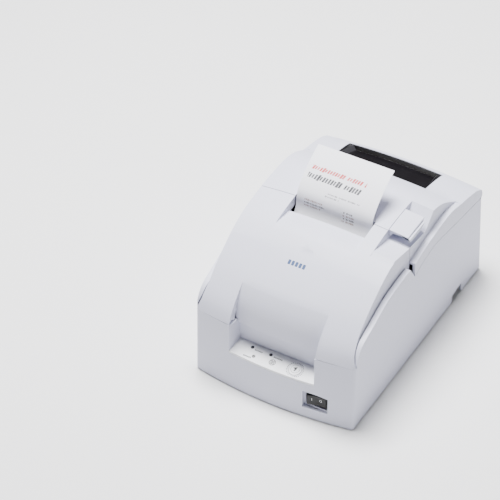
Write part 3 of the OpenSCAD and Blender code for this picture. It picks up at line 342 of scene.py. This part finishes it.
GREY_INK = Finish("grey_ink", (0.12, 0.12, 0.13), 0.6, Texture.INK)
NAVY_INK = Finish("navy_ink", (0.035, 0.075, 0.19), 0.5, Texture.INK)
WHITE_INK = Finish("white_ink", (0.62, 0.63, 0.66), 0.5, Texture.INK)


def only(obj: bpy.types.Object) -> None:
    """Select one object and make it active."""
    if bpy.context.object and bpy.context.object.mode != "OBJECT":
        bpy.ops.object.mode_set(mode="OBJECT")
    bpy.ops.object.select_all(action="DESELECT")
    obj.select_set(True)
    bpy.context.view_layer.objects.active = obj


def nothing_selected() -> None:
    """Deselect everything, in object mode."""
    if bpy.context.object and bpy.context.object.mode != "OBJECT":
        bpy.ops.object.mode_set(mode="OBJECT")
    bpy.ops.object.select_all(action="DESELECT")


def dress(obj: bpy.types.Object, finish: Finish) -> None:
    """Give an object one finish all over.

    Args:
        obj: the object.
        finish: its finish.
    """
    obj.data.materials.clear()
    obj.data.materials.append(finish.material())


def smooth(obj: bpy.types.Object, degrees: float = 32) -> None:
    """Smooth an object's faces up to an angle."""
    only(obj)
    bpy.ops.object.shade_smooth_by_angle(angle=math.radians(degrees))


def refined(node: str, name: str, body: str, finish: Finish, edge_mm: float = 0.0,
            segments: int = 2) -> bpy.types.Object:
    """Stand a merged, softly edged copy in for a CAD node.

    Args:
        node: the CAD node.
        name: the new piece's name.
        body: the body it rides on.
        finish: its finish.
        edge_mm: radius of the broken edges, 0 for none.
        segments: steps round an edge.

    Returns:
        The new piece.
    """
    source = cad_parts[node]
    piece = bpy.data.objects.new(name, source.data.copy())
    bpy.context.scene.collection.objects.link(piece)
    only(piece)
    bpy.ops.object.mode_set(mode="EDIT")
    bpy.ops.mesh.select_all(action="SELECT")
    bpy.ops.mesh.remove_doubles(threshold=0.000004)
    bpy.ops.mesh.dissolve_limited(angle_limit=math.radians(0.4))
    bpy.ops.mesh.customdata_custom_splitnormals_clear()
    bpy.ops.object.mode_set(mode="OBJECT")
    if edge_mm:
        bevel = piece.modifiers.new("broken_edges", "BEVEL")
        bevel.width = edge_mm * MM
        bevel.segments = segments
        bevel.limit_method = "ANGLE"
        bevel.angle_limit = math.radians(34)
        bevel.use_clamp_overlap = True
        bevel.harden_normals = False
    smooth(piece)
    dress(piece, finish)
    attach(piece, body)
    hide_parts(node)
    log.info("%s: %d faces", name, len(piece.data.polygons))
    return piece


def joined(pieces: Sequence[bpy.types.Object], name: str, body: str) -> bpy.types.Object:
    """Join small pieces into one and let it ride on a body.

    Args:
        pieces: the pieces.
        name: the joined piece's name.
        body: the body it rides on.

    Returns:
        The joined piece.
    """
    nothing_selected()
    for piece in pieces:
        piece.select_set(True)
    bpy.context.view_layer.objects.active = pieces[0]
    bpy.ops.object.join()
    whole = bpy.context.object
    bpy.ops.object.transform_apply(location=True, rotation=True, scale=True)
    whole.name = name
    whole.data.name = name
    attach(whole, body)
    log.info("%s: %d marks", name, len(pieces))
    return whole


@dataclass
class Spot:
    """A place on a surface, with its own right, up and outward directions."""

    origin: Vector
    right: Vector
    up: Vector
    out: Vector

    def matrix(self, x: float, y: float, turn: float = 0.0) -> Matrix:
        """Where a mark at (x, y) mm on this spot goes.

        Args:
            x: to the right.
            y: up the surface.
            turn: radians the mark is turned by.

        Returns:
            The mark's world matrix.
        """
        base = Matrix((self.right, self.up, self.out)).transposed().to_4x4()
        base.translation = self.origin + self.right * x * MM + self.up * y * MM
        return base @ Matrix.Rotation(turn, 4, "Z")


def spot_on(node: str, start: Vector, direction: Vector, right: Vector) -> Spot:
    """Find the place on a CAD node that a ray meets first.

    Args:
        node: the CAD node.
        start: where the ray starts.
        direction: where it goes.
        right: roughly to the right on the surface.

    Returns:
        The place, with its directions.

    Raises:
        ValueError: if the ray misses.
    """
    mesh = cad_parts[node].data
    tree = BVHTree.FromPolygons([v.co for v in mesh.vertices],
                                [tuple(f.vertices) for f in mesh.polygons])
    place, normal, _, _ = tree.ray_cast(start, direction.normalized())
    if place is None:
        raise ValueError(f"nothing of {node} is met from {tuple(start)}")
    out = normal.normalized()
    if out.dot(direction) > 0:
        out.negate()
    across = (right - out * right.dot(out)).normalized()
    return Spot(place.copy(), across, out.cross(across), out)


@dataclass
class Printing:
    """Flat marks of ink laid on a surface."""

    finish: Finish
    lift_mm: float = 0.02
    thick_mm: float = 0.03
    marks: list[bpy.types.Object] = field(default_factory=list)

    def _lay(self, spot: Spot, x: float, y: float, turn: float = 0.0) -> bpy.types.Object:
        """Give the new flat shape its thickness and put it on its spot."""
        mark = bpy.context.object
        bpy.ops.object.mode_set(mode="EDIT")
        bpy.ops.mesh.select_all(action="SELECT")
        bpy.ops.mesh.extrude_region_move(
            TRANSFORM_OT_translate={"value": (0, 0, self.thick_mm * MM)})
        bpy.ops.mesh.select_all(action="SELECT")
        bpy.ops.mesh.normals_make_consistent(inside=False)
        bpy.ops.object.mode_set(mode="OBJECT")
        mark.matrix_world = spot.matrix(x, y, turn) @ Matrix.Translation(
            (0, 0, self.lift_mm * MM))
        dress(mark, self.finish)
        self.marks.append(mark)
        return mark

    def bar(self, spot: Spot, x: float, y: float, width: float, height: float,
            turn: float = 0.0) -> None:
        """A straight bar with rounded corners, all in mm.

        Args:
            spot: the surface.
            x: its middle.
            y: its middle.
            width: its length.
            height: its height.
            turn: radians it is turned by.
        """
        nothing_selected()
        bpy.ops.mesh.primitive_plane_add(size=1, location=(0, 0, 0))
        bpy.ops.object.mode_set(mode="EDIT")
        bpy.ops.transform.resize(value=(width * MM, height * MM, 1))
        bpy.ops.mesh.bevel(affect="VERTICES", offset=min(width, height) * 0.2 * MM, segments=2)
        bpy.ops.object.mode_set(mode="OBJECT")
        self._lay(spot, x, y, turn)

    def disc(self, spot: Spot, x: float, y: float, radius: float, sides: int = 24,
             turn: float = 0.0) -> None:
        """A disc, or with few sides a regular shape, in mm."""
        nothing_selected()
        bpy.ops.mesh.primitive_circle_add(vertices=sides, radius=radius * MM,
                                          fill_type="NGON", location=(0, 0, 0))
        self._lay(spot, x, y, turn)

    def ring(self, spot: Spot, x: float, y: float, radius: float, width: float,
             sides: int = 32) -> None:
        """A ring, in mm.

        Args:
            spot: the surface.
            x: its centre.
            y: its centre.
            radius: its outer radius.
            width: the line's width.
            sides: steps round it.
        """
        nothing_selected()
        bpy.ops.mesh.primitive_circle_add(vertices=sides, radius=radius * MM,
                                          fill_type="NGON", location=(0, 0, 0))
        bpy.ops.object.mode_set(mode="EDIT")
        bpy.ops.mesh.select_all(action="SELECT")
        bpy.ops.mesh.inset(thickness=width * MM)
        bpy.ops.mesh.delete(type="FACE")
        bpy.ops.object.mode_set(mode="OBJECT")
        self._lay(spot, x, y)

    def finish_as(self, name: str, body: str) -> bpy.types.Object:
        """Join the marks into one piece that rides on a body."""
        return joined(self.marks, name, body)


@dataclass
class Casework:
    """The outer shells: lower case, two covers and the release lever."""

    edge_mm: float = 0.45

    def build(self) -> None:
        """Make and dress each shell."""
        for node, body in (("lower_case", BASE), ("front_cover", FRONT_COVER),
                           ("roll_cover", ROLL_COVER), ("cover_lever", LEVER)):
            refined(node, f"{node}_shell", body, CASE_PLASTIC, self.edge_mm)
        self.emblem()

    def emblem(self) -> None:
        """A plain row of slanted navy bars on the middle of the front cover."""
        ink = Printing(NAVY_INK)
        for i in range(5):
            x = -3 + (i - 2) * 3.6
            spot = spot_on("front_cover", Vector((x * MM, -0.0665, 0.3)),
                           Vector((0, 0, -1)), Vector((1, 0, 0)))
            ink.bar(spot, 0, 0, 2.6, 4.4)
        ink.finish_as("cover_emblem", FRONT_COVER)


@dataclass
class CoverWindow:
    """The smoked tray set into the roll cover."""

    highlight_facet_slope: float = 0.3

    def build(self) -> None:
        """Make the tray and paint a highlight on its sloping ends with a lighter copy of its finish.
        """
        tray = refined("roll_window", "window_tray", ROLL_COVER, WINDOW_PLASTIC, 0.25)
        tray.data.materials.append(PAINTED_WINDOW_HIGHLIGHT.material())
        # Faces that slope sideways and up take the lighter copy: a painted highlight on the one
        # smoked moulding.
        for face in tray.data.polygons:
            if abs(face.normal.x) > self.highlight_facet_slope and face.normal.z > 0.2:
                face.material_index = 1


@dataclass
class ControlPanel:
    """The sunk panel: lamps, its printing and the feed button."""

    def build(self) -> None:
        """Make the panel, its button and the marks on both."""
        refined("operation_panel", "panel_face", BASE, PANEL_PLASTIC, 0.12)
        refined("feed_button", "feed_button_cap", BUTTON, PANEL_PLASTIC, 0.3, 3)
        dress(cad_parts["status_lamps"], LAMP_LENS)
        self.marks()

    def panel_spot(self, x: float, y: float, node: str = "operation_panel") -> Spot:
        """The place on the panel over a point of the floor plan, in mm."""
        return spot_on(node, Vector((x * MM, y * MM, 0.06)), Vector((0, 0, -1)),
                       Vector((1, 0, 0)))

    def marks(self) -> None:
        """Small generic marks: caption dashes, an error sign and the feed sign."""
        grey = Printing(GREY_INK)
        black = Printing(BLACK_INK)
        for i in range(6):
            grey.bar(self.panel_spot(-21.6 + i * 1.3, -108.4), 0, 0, 1.0, 1.3)
            grey.bar(self.panel_spot(-2.6 + i * 1.5, -108.3), 0, 0, 1.2, 1.3)
            grey.bar(self.panel_spot(-28.6 + i * 1.35, -117.1), 0, 0, 1.05, 1.4)
        sign = self.panel_spot(-1.6, -113.6)
        black.ring(sign, 0, 0, 3.1, 0.55)
        for turn in range(4):
            angle = math.radians(45 + 90 * turn)
            black.ring(sign, 1.3 * math.cos(angle), 1.3 * math.sin(angle), 1.0, 0.45, 16)
        for i in range(28):
            angle = math.tau * i / 28
            x = 20.5 + 7.7 * math.cos(angle)
            y = -112.1 + 7.2 * math.sin(angle)
            if y > -118.6:
                grey.disc(self.panel_spot(x, y), 0, 0, 0.42, 8)
        grey.finish_as("panel_captions", BASE)
        black.finish_as("panel_signs", BASE)
        cap = Printing(BLACK_INK)
        top = self.panel_spot(20.5, -111.6, "feed_button")
        cap.disc(top, 0, 0.6, 2.2, 3, math.radians(90))
        cap.bar(top, 0, -1.5, 1.3, 1.7)
        cap.finish_as("feed_sign", BUTTON)
        ring = Printing(GREY_INK)
        ring.ring(top, 0, 0, 4.3, 0.3)
        ring.finish_as("feed_ring", BUTTON)


@dataclass
class PowerSwitch:
    """The rocker switch at the lower right of the front."""

    def build(self) -> None:
        """Make the housing, the rocker and its two marks."""
        refined("switch_housing", "switch_bezel", BASE, DARK_PLASTIC, 0.2)
        refined("power_rocker", "rocker_cap", ROCKER, ROCKER_PLASTIC, 0.3, 3)
        ink = Printing(WHITE_INK)
        for x, draw in ((40.6, "bar"), (48.6, "ring")):
            spot = spot_on("power_rocker", Vector((x * MM, -0.2, 0.0215)),
                           Vector((0, 1, 0)), Vector((1, 0, 0)))
            if draw == "bar":
                ink.bar(spot, 0, 0, 0.55, 2.6)
            else:
                ink.ring(spot, 0, 0, 1.3, 0.42, 20)
        ink.finish_as("rocker_marks", ROCKER)


@dataclass(frozen=True)
class PrintLine:
    """One printed line of the receipt, in mm along and across the strip."""

    middle: float
    height: float
    left: float
    right: float
    pitch: float
    colour: Colour
    ink: float = 0.9
    slant: float = 0.0


RED = (0.62, 0.02, 0.02)
DARK = (0.008, 0.009, 0.012)
GREY = (0.09, 0.09, 0.1)
BROWN = (0.25, 0.13, 0.1)

RECEIPT_LINES = (
    PrintLine(40.5, 4.6, -33, 21, 2.5, RED, 1.0, 0.35),
    PrintLine(32.5, 6.0, -34, 20, 2.7, DARK, 1.0, 0.3),
    PrintLine(22.0, 1.5, -10, 22, 1.3, GREY, 0.75),
    PrintLine(19.4, 1.5, -12, 2, 1.3, GREY, 0.75),
    PrintLine(11.0, 1.7, -30, -12, 1.5, BROWN, 0.9),
    PrintLine(8.0, 1.7, -30, -10, 1.5, DARK, 0.9),
    PrintLine(5.0, 1.7, -30, -14, 1.5, BROWN, 0.9),
    PrintLine(11.0, 1.7, 9, 18, 1.5, DARK, 0.9),
    PrintLine(8.0, 1.7, 8, 20, 1.5, BROWN, 0.9),
    PrintLine(5.0, 1.7, 9, 20, 1.5, DARK, 0.9),
    PrintLine(2.2, 1.7, 8, 20, 1.5, BROWN, 0.9),
)


@dataclass
class ReceiptPaper:
    """The receipt coming out of the slot, the web below it and the roll."""

    slot_z: float = 0.1256

    def printed_paper(self) -> bpy.types.Material:
        """Paper with the receipt's print worked out from its place.

        Returns:
            The material.
        """
        material = bpy.data.materials.new("printed_receipt")
        graph = Graph(material)
        attribute = graph.put("ShaderNodeAttribute", attribute_name="strip_place")
        parts = graph.put("ShaderNodeSeparateXYZ", {"Vector": attribute.outputs["Vector"]})
        across, along = parts.outputs[0], parts.outputs[1]
        fibres = graph.noise(1800, 4)
        colour = graph.mix(graph.spread(fibres, 0, 1), (0.9, 0.9, 0.97), (0.93, 0.93, 0.99))
        speckle = graph.noise(700, 2)
        for line in RECEIPT_LINES:
            colour = graph.mix(self._stamp(graph, line, across, along, speckle),
                               colour, line.colour)
        graph.feed(graph.shader.inputs["Base Color"], colour)
        graph.shader.inputs["Roughness"].default_value = 0.85
        graph.shader.inputs["Specular IOR Level"].default_value = 0.2
        graph.bump(fibres, 0.00003, 0.4)
        return material

    def _stamp(self, graph: Graph, line: PrintLine, across: bpy.types.NodeSocket,
               along: bpy.types.NodeSocket,
               speckle: bpy.types.NodeSocket) -> bpy.types.NodeSocket:
        """How much ink one line lays at each place.

        Args:
            graph: the material's nodes.
            line: the line.
            across: mm across the strip.
            along: mm along the strip.
            speckle: uneven inking.

        Returns:
            0 for bare paper, up to 1 for full ink.
        """
        offset = graph.math("SUBTRACT", along, line.middle)
        leaned = graph.math("SUBTRACT", across, graph.math("MULTIPLY", offset, line.slant))
        cell = graph.math("DIVIDE", leaned, line.pitch)
        serial = graph.math("FLOOR", cell)
        tall = graph.math("FRACT", graph.math("MULTIPLY", graph.math("SINE", graph.math(
            "MULTIPLY", serial, 12.9)), 43.7))
        half = graph.math("MULTIPLY", graph.math("MULTIPLY_ADD", tall, 0.4, 0.6),
                          line.height / 2)
        rows = graph.math("LESS_THAN", graph.math("ABSOLUTE", offset), half)
        stroke = graph.math("LESS_THAN", graph.math("FRACT", cell),
                            graph.math("MULTIPLY_ADD", tall, 0.3, 0.55))
        space = graph.math("GREATER_THAN", graph.math("FRACT", graph.math(
            "MULTIPLY", serial, 0.143)), 0.13)
        inside = graph.math("MULTIPLY", graph.math("GREATER_THAN", across, line.left),
                            graph.math("LESS_THAN", across, line.right))
        full = graph.math("MULTIPLY", graph.math("MULTIPLY", rows, stroke),
                          graph.math("MULTIPLY", space, inside))
        return graph.math("MULTIPLY", full, graph.spread(speckle, line.ink * 0.75, line.ink))

    def build(self) -> None:
        """Make the receipt and dress the web, the roll and its core."""
        strip = refined("receipt_strip", "receipt", ROLL_COVER, WEB_PAPER)
        self._measure(strip)
        strip.data.materials.clear()
        strip.data.materials.append(self.printed_paper())
        dress(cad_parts["paper_web"], WEB_PAPER)
        dress(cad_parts["paper_roll"], ROLL_PAPER)
        dress(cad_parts["roll_core"], CORE_CARD)

    def _measure(self, strip: bpy.types.Object) -> None:
        """Write each vertex's place across and along the strip, in mm, to its mesh."""
        points = sorted({(round(v.co.z, 6), round(v.co.y, 6)) for v in strip.data.vertices})
        store = strip.data.attributes.new("strip_place", "FLOAT_VECTOR", "POINT")
        lengths: dict[tuple[float, float], float] = {}
        total = 0.0
        last = points[0]
        for point in points:
            step = math.dist(point, last)
            if step > 0.0006:
                total += step
                last = point
            lengths[point] = total
        start = next((d for p, d in lengths.items() if p[0] > self.slot_z), 0.0)
        for i, vertex in enumerate(strip.data.vertices):
            key = (round(vertex.co.z, 6), round(vertex.co.y, 6))
            store.data[i].vector = (vertex.co.x / MM, (lengths[key] - start) / MM, 0)


@dataclass
class Insides:
    """The CAD nodes inside the case, each with its finish."""

    finishes: dict[str, Finish] = field(default_factory=lambda: {
        "base_plate": ZINC_STEEL, "rubber_feet": RUBBER, "base_screws": GROUND_STEEL,
        "panel_board": BOARD, "cover_hinge_pins": GROUND_STEEL, "latch_shaft": ZINC_STEEL,
        "latch_spring": GROUND_STEEL, "roll_tub": GREY_PLASTIC, "mechanism_base": DARK_PLASTIC,
        "left_side_plate": ZINC_STEEL, "right_side_plate": ZINC_STEEL,
        "mechanism_screws": GROUND_STEEL, "guide_shaft": GROUND_STEEL, "guide_rail": ZINC_STEEL,
        "platen": ZINC_STEEL, "carriage": DARK_PLASTIC, "print_head": HEAD_ALLOY,
        "head_cable": PANEL_PLASTIC, "carriage_motor": MOTOR_STEEL,
        "drive_pulley": CREAM_PLASTIC, "idler_pulley": CREAM_PLASTIC, "idler_post": GROUND_STEEL,
        "carriage_belt": RUBBER, "feed_roller": RUBBER, "feed_gear": CREAM_PLASTIC,
        "pinch_roller": GREY_PLASTIC, "feed_motor": MOTOR_STEEL, "motor_pinion": BRASS,
        "ribbon_cassette": DARK_PLASTIC, "ribbon_knob": PANEL_PLASTIC, "ink_ribbon": RIBBON,
        "cutter_frame": ZINC_STEEL, "fixed_blade": GROUND_STEEL, "moving_blade": GROUND_STEEL,
        "cutter_motor": MOTOR_STEEL, "cutter_pinion": CREAM_PLASTIC, "main_board": BOARD,
        "board_capacitors": CAPACITOR, "connector_plate": ZINC_STEEL,
        "power_socket": DARK_PLASTIC, "drawer_socket": DARK_PLASTIC,
        "data_connector": CONNECTOR_BLUE, "cover_stays": ZINC_STEEL})

    def build(self) -> None:
        """Dress every inner node."""
        for node, finish in self.finishes.items():
            dress(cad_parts[node], finish)
            log.info("%s: %s", node, finish.name)


@dataclass
class Studio:
    """Floor, lights and camera."""

    camera_place: tuple[float, float, float] = (0.80124, -1.40340, 1.53745)
    azimuth: float = 32.487
    elevation: float = 41.906
    roll: float = -2.232
    lens: float = 176.25

    def build(self) -> None:
        """Make the floor, the lights and the camera."""
        self._floor()
        self._world()
        self._lamp("top_light", (-0.25, 0.15, 1.5), 0.7, 86.0)
        self._lamp("right_light", (1.7, -0.1, 0.6), 0.8, 7.0)
        self._camera()

    def _floor(self) -> None:
        """A wide pale floor with a faint unevenness."""
        nothing_selected()
        bpy.ops.mesh.primitive_plane_add(size=14, location=(0, 0, -0.0002))
        floor = bpy.context.object
        floor.name = "floor"
        bpy.ops.object.transform_apply(location=True, rotation=True, scale=True)
        dress(floor, Finish("floor", (0.9, 0.9, 0.91), 0.9, Texture.SATIN, grain=40, depth=0.0001,
                            variation=0.004))

    def _world(self) -> None:
        """An even, slightly cool surround."""
        world = bpy.data.worlds.new("surround")
        world.use_nodes = True
        background = world.node_tree.nodes["Background"]
        background.inputs["Color"].default_value = (0.97, 0.98, 1.0, 1)
        background.inputs["Strength"].default_value = 0.07
        bpy.context.scene.world = world

    def _lamp(self, name: str, place: tuple[float, float, float], size: float,
              power: float) -> None:
        """An area light that faces the printer.

        Args:
            name: its name.
            place: where it stands.
            size: its side.
            power: watts.
        """
        light = bpy.data.lights.new(name, "AREA")
        light.size = size
        light.energy = power
        lamp = bpy.data.objects.new(name, light)
        bpy.context.scene.collection.objects.link(lamp)
        lamp.location = place
        aim = Vector((0, 0, 0.06)) - Vector(place)
        lamp.rotation_euler = aim.to_track_quat("-Z", "Y").to_euler()

    def _camera(self) -> None:
        """A long lens above the front right corner."""
        around, up = math.radians(self.azimuth), math.radians(self.elevation)
        back = Vector((math.sin(around) * math.cos(up), -math.cos(around) * math.cos(up),
                       math.sin(up)))
        level = Vector((math.cos(around), math.sin(around), 0))
        rise = back.cross(level)
        roll = math.radians(self.roll)
        right = level * math.cos(roll) + rise * math.sin(roll)
        upward = rise * math.cos(roll) - level * math.sin(roll)
        turned = Matrix((right, upward, back)).transposed().to_4x4()
        turned.translation = Vector(self.camera_place)
        lens = bpy.data.cameras.new("camera")
        lens.lens = self.lens
        lens.sensor_width = 36.0
        lens.clip_end = 50
        camera = bpy.data.objects.new("camera", lens)
        bpy.context.scene.collection.objects.link(camera)
        camera.matrix_world = turned
        bpy.context.scene.camera = camera


def main() -> None:
    """Build every sub-assembly in order."""
    logging.basicConfig(level=logging.INFO, format="%(name)s: %(message)s")
    for part in (Studio(), Casework(), CoverWindow(), ControlPanel(), PowerSwitch(),
                 ReceiptPaper(), Insides()):
        log.info("building %s", type(part).__name__)
        part.build()


if __name__ == "__main__":
    main()
